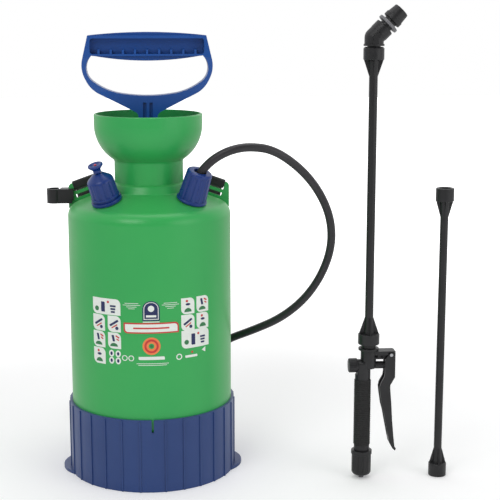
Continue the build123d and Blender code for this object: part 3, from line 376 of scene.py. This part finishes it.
def bandFrames():  # evenly spaced places on the band: distance, middle, across, travel
    middles, acrosses = bandLines()
    fine = 2000
    places = [roundedAt(middles, k / fine) for k in range(fine + 1)]
    run = [0.0]
    for before, after in zip(places, places[1:]):
        run.append(run[-1] + (after - before).length)
    frames, k = [], 0
    for row in range(webbing["rows"] + 1):
        wanted = run[-1] * row / webbing["rows"]
        while k < fine - 1 and run[k + 1] < wanted:
            k += 1
        share = (k + (wanted - run[k]) / (run[k + 1] - run[k])) / fine
        travel = (places[min(k + 2, fine)] - places[max(k - 1, 0)]).normalized()
        across = roundedAt(acrosses, share)
        across = (across - travel * across.dot(travel)).normalized()
        frames.append((wanted, roundedAt(middles, share), across, travel))
    return frames


def makeBand(target, frames):
    strip = bmesh.new()
    weave = strip.loops.layers.uv.new("weave")
    bmesh.ops.create_grid(strip, x_segments=4, y_segments=webbing["rows"], size=0.5)
    for face in strip.faces:
        for loop in face.loops:
            row = round((loop.vert.co.y + 0.5) * webbing["rows"])
            loop[weave].uv = (loop.vert.co.x * webbing["width"], frames[row][0])
    for vert in strip.verts:
        run, middle, across, travel = frames[round((vert.co.y + 0.5) * webbing["rows"])]
        vert.co = (middle + across * vert.co.x * webbing["width"]) * mm
    addTo(target, strip)


def makeEarLoop(target, side):
    centre, along, up = earFrame(side)
    strip = bmesh.new()
    weave = strip.loops.layers.uv.new("weave")
    wide, high = (clear + webbing["thick"] for clear in webbing["loop"])
    bmesh.ops.create_grid(strip, x_segments=1, y_segments=1, size=0.5)
    bmesh.ops.scale(strip, verts=strip.verts, vec=(wide, high, 1))
    bmesh.ops.bevel(strip, geom=strip.verts[:], offset=webbing["loopRound"], segments=5, profile=0.5,
                    affect="VERTICES", material=-1)
    bmesh.ops.delete(strip, geom=strip.faces[:], context="FACES_ONLY")
    bmesh.ops.translate(strip, verts=strip.verts, vec=(0, 0, -webbing["width"] / 2))
    grown = bmesh.ops.extrude_edge_only(strip, edges=strip.edges[:])
    bmesh.ops.translate(strip, verts=[part for part in grown["geom"] if isinstance(part, bmesh.types.BMVert)],
                        vec=(0, 0, webbing["width"]))
    bmesh.ops.recalc_face_normals(strip, faces=strip.faces)
    for face in strip.faces:
        for loop in face.loops:
            loop[weave].uv = (loop.vert.co.z, loop.vert.co.x + loop.vert.co.y)
    for vert in strip.verts:
        vert.co = (centre + Vector((0, 1, 0)) * vert.co.x + up * vert.co.y + along * vert.co.z) * mm
    bmesh.ops.recalc_face_normals(strip, faces=strip.faces)
    addTo(target, strip)


def addTo(target, shape):
    part = bpy.data.meshes.new("partOfPiece")
    shape.to_mesh(part)
    shape.free()
    target.from_mesh(part)
    bpy.data.meshes.remove(part)


def makeStitches(frames):
    thread = bmesh.new()
    near, far = webbing["stitchRows"]
    edge, total = webbing["stitchEdge"], frames[-1][0]
    spots = [(run, edge * k / 3, True) for run in (near, far) for k in range(-3, 4)]
    spots += [(near + (far - near) * k / 5, side * edge, False) for side in (-1, 1) for k in range(1, 5)]
    for run, offset, crosswise in spots:
        for wanted in (run, total - run):
            place, middle, across, travel = min(frames, key=lambda frame: abs(frame[0] - wanted))
            middle = middle + travel * (wanted - place)
            length, wide = (across, travel) if crosswise else (travel, across)
            turn = Matrix((length, wide, length.cross(wide))).transposed().to_4x4()
            seat = Matrix.Translation((middle + across * offset) * mm) @ turn
            size = Matrix.Diagonal((*(value * mm for value in webbing["stitch"]), 1))
            bmesh.ops.create_icosphere(thread, subdivisions=1, radius=0.5, matrix=seat @ size)
    bmesh.ops.recalc_face_normals(thread, faces=thread.faces)
    piece = linkMesh("strapStitches", thread)
    wear(piece, finish("stitchThread", (0.045, 0.045, 0.048), (0.03, 0.03, 0.032), (0.6, 0.75), 300, 2000, 0.1))
    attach(piece, "tank")


def makeWeaveGroup():
    group = bpy.data.node_groups.new("wovenBand", "ShaderNodeTree")
    face = group.interface
    for name, value in (("Rib Across", 1.3), ("Rib Along", 1.0), ("Bump", 0.6)):
        socket = face.new_socket(name, in_out="INPUT", socket_type="NodeSocketFloat")
        socket.default_value = value
    face.new_socket("Rib", in_out="OUTPUT", socket_type="NodeSocketFloat")
    face.new_socket("Normal", in_out="OUTPUT", socket_type="NodeSocketVector")
    nodes, links = group.nodes, group.links
    given = nodes.new("NodeGroupInput")
    result = nodes.new("NodeGroupOutput")
    place = nodes.new("ShaderNodeUVMap")
    place.uv_map = "weave"
    split = nodes.new("ShaderNodeSeparateXYZ")
    links.new(place.outputs["UV"], split.inputs["Vector"])
    waves = []
    for axis, pitch in (("X", "Rib Across"), ("Y", "Rib Along")):
        count = nodes.new("ShaderNodeMath")
        count.operation = "DIVIDE"
        angle = nodes.new("ShaderNodeMath")
        angle.operation = "MULTIPLY"
        angle.inputs[1].default_value = pi
        wave = nodes.new("ShaderNodeMath")
        wave.operation = "SINE"
        links.new(split.outputs[axis], count.inputs[0])
        links.new(given.outputs[pitch], count.inputs[1])
        links.new(count.outputs[0], angle.inputs[0])
        links.new(angle.outputs[0], wave.inputs[0])
        waves.append(wave)
    crossing = nodes.new("ShaderNodeMath")
    crossing.operation = "MULTIPLY"
    height = nodes.new("ShaderNodeMath")
    height.operation = "ABSOLUTE"
    bump = nodes.new("ShaderNodeBump")
    bump.inputs["Distance"].default_value = 0.0003
    links.new(waves[0].outputs[0], crossing.inputs[0])
    links.new(waves[1].outputs[0], crossing.inputs[1])
    links.new(crossing.outputs[0], height.inputs[0])
    links.new(height.outputs[0], bump.inputs["Height"])
    links.new(given.outputs["Bump"], bump.inputs["Strength"])
    # the rib height; the webbing paint also uses it to paint shade into the hollows between the threads
    links.new(height.outputs[0], result.inputs["Rib"])
    links.new(bump.outputs["Normal"], result.inputs["Normal"])
    return group


def makeWebbingPaint():
    paint = bpy.data.materials.new("strapWebbing")
    paint.use_nodes = True
    nodes, links = paint.node_tree.nodes, paint.node_tree.links
    shader = nodes["Principled BSDF"]
    surface = nodes.new("ShaderNodeGroup")
    surface.node_tree = makeWeaveGroup()
    surface.inputs["Rib Across"].default_value, surface.inputs["Rib Along"].default_value = webbing["rib"]
    # painted shade: the weave's hollows between the threads are painted darker and its crowns lighter, by the same rib
    # height that drives the bump
    shade = nodes.new("ShaderNodeMix")
    shade.data_type = "RGBA"
    shade.inputs["A"].default_value = (0.006, 0.006, 0.007, 1)
    shade.inputs["B"].default_value = (0.020, 0.020, 0.022, 1)
    links.new(surface.outputs["Rib"], shade.inputs["Factor"])
    links.new(shade.outputs["Result"], shader.inputs["Base Color"])
    links.new(surface.outputs["Normal"], shader.inputs["Normal"])
    shader.inputs["Roughness"].default_value = 0.78
    shader.inputs["Sheen Weight"].default_value = 0.2
    return paint


def makeStrap():
    frames = bandFrames()
    mesh = bmesh.new()
    makeBand(mesh, frames)
    for side in (-1, 1):
        makeEarLoop(mesh, side)
    piece = linkMesh("strapBand", mesh)
    body = piece.modifiers.new("thickness", "SOLIDIFY")
    body.thickness = webbing["thick"] * mm
    body.offset = 0
    body.use_even_offset = True
    edges = piece.modifiers.new("edges", "BEVEL")
    edges.width = 0.3 * mm
    edges.segments = 2
    edges.limit_method = "ANGLE"
    edges.angle_limit = radians(50)
    wear(piece, makeWebbingPaint())
    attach(piece, "tank")
    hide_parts("strap")
    makeStitches(frames)


makeStrap()
print("stage: strap")


# ---- finishes of the moulded parts
finishes = {
    "green_shell": finish("greenShell", (0.035, 0.40, 0.085), (0.012, 0.33, 0.075), rough=(0.30, 0.42), cloud=9,
                          grain=420, bump=0.10, Sheen_Weight=0.25, Sheen_Roughness=0.4, Sheen_Tint=(0.85, 1, 0.7, 1)),
    "blue_base": finish("blueBase", (0.013, 0.05, 0.20), (0.009, 0.035, 0.15), rough=(0.34, 0.5), cloud=14,
                        grain=700, bump=0.14, Sheen_Weight=0.12, Sheen_Roughness=0.5),
    "blue_handle": finish("blueHandle", (0.004, 0.075, 0.335), (0.003, 0.055, 0.26), rough=(0.28, 0.42), cloud=20,
                          grain=800, bump=0.10),
    "blue_cap": finish("blueCap", (0.004, 0.035, 0.21), (0.003, 0.025, 0.16), rough=(0.26, 0.4), cloud=40,
                       grain=900, bump=0.08),
    "black_plastic": finish("blackPlastic", (0.012, 0.012, 0.014), (0.007, 0.007, 0.008), rough=(0.34, 0.5), cloud=45,
                            grain=1100, bump=0.16),
    "grey_plastic": finish("greyPlastic", (0.17, 0.17, 0.18), (0.12, 0.12, 0.13), rough=(0.35, 0.5), cloud=60, grain=1000),
    "white_plastic": finish("whitePlastic", (0.75, 0.75, 0.72), (0.66, 0.66, 0.63), rough=(0.3, 0.45), cloud=30, grain=800),
    "red_plastic": finish("redPlastic", (0.62, 0.05, 0.10), (0.5, 0.03, 0.07), rough=(0.25, 0.4), cloud=90, grain=900),
    "rubber": finish("sealRubber", (0.012, 0.012, 0.012), (0.02, 0.02, 0.02), rough=(0.6, 0.8), cloud=60, grain=1500),
    "hose": finish("tailPlastic", (0.02, 0.02, 0.022), (0.014, 0.014, 0.015), rough=(0.4, 0.5), cloud=60, grain=1200),
    "steel": finish("steelBright", (0.55, 0.56, 0.58), (0.45, 0.46, 0.48), rough=(0.22, 0.4), cloud=120, grain=1600,
                    bump=0.05, Metallic=1.0),
    "webbing": finish("strapPlain", (0.012, 0.012, 0.013), (0.02, 0.02, 0.02), rough=(0.7, 0.85), cloud=120, grain=1500),
}


def dressNodes():
    slots = {part["node"]: part["material_slot"] for part in frame["record"]["subparts"]}
    for name, node in frame["nodes"].items():
        for entry in node.material_slots:
            entry.material = finishes[slots[name]]


dressNodes()
print("stage: moulded parts dressed")


# ---- print on the front of the tank: plain tiles and marks laid round the wall
panel = {
    "wallRadius": 88.5,
    "sunk": 0.05,  # how deep the back of a print lies in the wall
    "ink": 0.16,
    "slice": 2.0,  # width of the flat strips that follow the wall
    "tileHigh": 17.3,
    "tileRound": 5.5,
    "rows": (200.85, 182.85, 164.85, 146.85),
}


def flatShape(kind, wide, high, rounding=0.0):
    shape = bmesh.new()
    if kind == "tile":
        bmesh.ops.create_grid(shape, x_segments=1, y_segments=1, size=0.5)
    else:
        bmesh.ops.create_circle(shape, cap_ends=True, segments={"disc": 28, "wedge": 3, "mound": 28}[kind], radius=0.5)
    bmesh.ops.scale(shape, verts=shape.verts, vec=(wide, high, 1))
    if kind == "tile" and rounding:
        corners = [vert for vert in shape.verts if vert.co.x * vert.co.y > 0]
        bmesh.ops.bevel(shape, geom=corners, offset=rounding, segments=5, profile=0.5, affect="VERTICES", material=-1)
    if kind == "mound":  # the upper half of a disc
        bmesh.ops.bisect_plane(shape, geom=shape.verts[:] + shape.edges[:] + shape.faces[:], plane_co=(0, 0, 0),
                               plane_no=(0, -1, 0), clear_outer=True)
    return shape


def layRound(target, shape, across, up, lift=0.0, turn=0.0):
    bmesh.ops.rotate(shape, verts=shape.verts, cent=(0, 0, 0), matrix=Matrix.Rotation(radians(turn), 3, "Z"))
    reach = max(abs(vert.co.x) for vert in shape.verts)
    strips = int(2 * reach / panel["slice"])
    for k in range(1, strips):
        bmesh.ops.bisect_plane(shape, geom=shape.verts[:] + shape.edges[:] + shape.faces[:],
                               plane_co=(-reach + 2 * reach * k / strips, 0, 0), plane_no=(1, 0, 0))
    raised = bmesh.ops.extrude_face_region(shape, geom=shape.faces[:], use_keep_orig=True)
    top = [part for part in raised["geom"] if isinstance(part, bmesh.types.BMVert)]
    bmesh.ops.translate(shape, verts=top, vec=(0, 0, panel["ink"] + panel["sunk"]))
    for vert in shape.verts:
        out = panel["wallRadius"] - panel["sunk"] + lift + vert.co.z
        angle = (across + vert.co.x) / panel["wallRadius"]
        vert.co = Vector((out * sin(angle), -out * cos(angle), up + vert.co.y)) * mm
    bmesh.ops.recalc_face_normals(shape, faces=shape.faces)
    addTo(target, shape)


def layRing(target, across, up, outer, inner, lift=0.0):
    ring = bmesh.new()
    bmesh.ops.create_circle(ring, cap_ends=True, segments=48, radius=outer)
    bmesh.ops.inset_region(ring, faces=ring.faces[:], thickness=outer - inner, use_even_offset=True,
                           use_boundary=True)
    middle = [face for face in ring.faces if len(face.verts) > 4]
    bmesh.ops.delete(ring, geom=middle, context="FACES_ONLY")
    layRound(target, ring, across, up, lift)


def printPiece(name, mesh, paint):
    piece = linkMesh(name, mesh)
    wear(piece, paint)
    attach(piece, "tank")


def makePanel():
    pale, navy, red, green, orange = (bmesh.new() for ink in range(5))
    rows, high, rounding = panel["rows"], panel["tileHigh"], panel["tileRound"]
    tiles = [(-49.65, rows[0], 34.3, high), (49.5, 164.75, 34.6, 19.5)]
    tiles += [(-59.0, up, 15.6, high) for up in rows[1:]] + [(-40.05, up, 15.1, high) for up in rows[1:3]]
    tiles += [(39.9, up, 15.6, high) for up in rows[:2]] + [(58.45, up, 16.1, high) for up in rows[:2]]
    for k, (across, up, wide, tall) in enumerate(tiles):
        layRound(pale, flatShape("tile", wide, tall, rounding), across, up)
        if wide > 30:  # a wide tile: a pill, two discs and a row of small bars
            layRound(navy, flatShape("tile", 4.6, tall * 0.62, 1.2), across - 3.5, up - 0.5, panel["ink"])
            layRound(green, flatShape("disc", 5.2, 5.2), across - 11.5, up - 3, panel["ink"])
            for bar in range(3):
                layRound(navy, flatShape("tile", 6.6 - bar, 1.9), across + 8.5, up + 1 - 3.1 * bar, panel["ink"])
            layRound(red, flatShape("disc", 2.6, 2.6), across + 2.8, up + 5, panel["ink"])
            continue
        style = k % 3
        if style == 0:
            layRound(green, flatShape("mound", 9.0, 7.4), across - 0.5, up - 6.2, panel["ink"])
            layRound(navy, flatShape("tile", 2.6, 7.0, 0.9), across - 1.2, up + 2.6, panel["ink"], 12)
            layRound(red, flatShape("tile", 4.4, 1.5), across + 3.6, up + 4.4, panel["ink"], -30)
            layRound(red, flatShape("tile", 3.2, 1.3), across + 3.9, up + 1.3, panel["ink"], -30)
        elif style == 1:
            layRound(green, flatShape("mound", 8.4, 8.4), across, up - 6.4, panel["ink"])
            layRound(navy, flatShape("disc", 5.4, 2.6), across, up + 1.8, panel["ink"])
            layRound(red, flatShape("disc", 2.7, 2.7), across - 1.2, up + 5.3, panel["ink"])
        else:
            layRound(navy, flatShape("tile", 11.2, 2.3, 0.8), across - 0.2, up + 1.0, panel["ink"], 32)
            layRound(navy, flatShape("disc", 3.6, 3.6), across + 3.2, up - 4.4, panel["ink"])
            layRound(red, flatShape("tile", 7.6, 1.2), across + 0.4, up - 2.4, panel["ink"], 32)
    for across in (-43.7, -36.0):  # four small ovals
        for up in (150.9, 143.3):
            layRound(pale, flatShape("disc", 6.1, 7.4), across, up)
            layRound(navy, flatShape("disc", 2.7, 3.9), across, up, panel["ink"])
    badge = (18.0, 21.1, 198.0)
    layRound(navy, archShape(badge[0], badge[1]), 0, badge[2])
    layRound(pale, archShape(badge[0] - 2.4, badge[1] - 2.4), 0, badge[2] + 0.2, panel["ink"])
    layRound(navy, archShape(badge[0] - 4.0, badge[1] - 4.0), 0, badge[2] + 0.3, 2 * panel["ink"])
    layRound(pale, flatShape("disc", 6.6, 6.6), 0, badge[2] + 2.6, 3 * panel["ink"])
    layRound(pale, flatShape("tile", 10.6, 2.2), 0, badge[2] - 5.4, 3 * panel["ink"])
    layRound(pale, flatShape("tile", 17.4, 0.9), 0, 186.3)
    layRound(red, flatShape("tile", 58.4, 11.4, 4.0), 0, 179.6)
    layRound(pale, flatShape("tile", 55.4, 8.4, 3.2), 0, 179.6, panel["ink"])
    layRound(red, flatShape("tile", 38.0, 1.6, 0.6), 0, 179.6, 2 * panel["ink"])
    layRing(orange, 0, 160.3, 9.4, 3.0)
    layRing(red, 0, 160.3, 7.4, 5.3, panel["ink"])
    layRound(green, flatShape("disc", 3.4, 3.4), 0, 160.3)
    layRound(pale, flatShape("tile", 27.4, 3.4, 1.2), 0, 147.2)
    for k, (wide, up) in enumerate(((34, 141.4), (30, 139.6))):
        layRound(pale, flatShape("tile", wide, 0.55), 1.0, up)
    for across in (-20.5, 20.5):
        for k, wide in enumerate((14.5, 18.5, 11.0, 7.0)):
            layRound(pale, flatShape("tile", wide, 0.5), across, 206.0 - 1.9 * k)
    layRing(pale, 29.4, 147.0, 3.3, 2.2)
    layRing(pale, -28.6, 147.0, 3.1, 2.2)
    layRing(pale, -21.6, 147.0, 3.1, 2.2)
    layRound(pale, flatShape("tile", 14.6, 2.6, 0.9), 43.6, 146.2)
    layRound(red, flatShape("disc", 2.4, 2.4), 44.6, 150.4)
    layRound(pale, flatShape("wedge", 6.6, 6.6), 60.2, 150.8, 0.0, 90)
    printPiece("panelPale", pale, finish("inkPale", (0.80, 0.83, 0.79), (0.70, 0.76, 0.70), (0.3, 0.4), 300, 1500, 0.04))
    printPiece("panelNavy", navy, finish("inkNavy", (0.006, 0.012, 0.075), (0.01, 0.02, 0.11), (0.3, 0.4), 300, 1500, 0.04))
    printPiece("panelRed", red, finish("inkRed", (0.60, 0.035, 0.03), (0.5, 0.03, 0.03), (0.3, 0.4), 300, 1500, 0.04))
    printPiece("panelGreen", green, finish("inkGreen", (0.02, 0.15, 0.05), (0.03, 0.2, 0.07), (0.3, 0.4), 300, 1500, 0.04))
    printPiece("panelOrange", orange, finish("inkOrange", (0.85, 0.24, 0.07), (0.75, 0.17, 0.05), (0.3, 0.4), 300, 1500, 0.04))


def archShape(wide, high):  # a plain shield: square below, round above
    arch = bmesh.new()
    bmesh.ops.create_grid(arch, x_segments=1, y_segments=1, size=0.5)
    bmesh.ops.scale(arch, verts=arch.verts, vec=(wide, high, 1))
    shoulders = [vert for vert in arch.verts if vert.co.y > 0]
    bmesh.ops.bevel(arch, geom=shoulders, offset=wide * 0.47, segments=9, profile=0.5, affect="VERTICES", material=-1)
    return arch


makePanel()
print("stage: print on the tank")
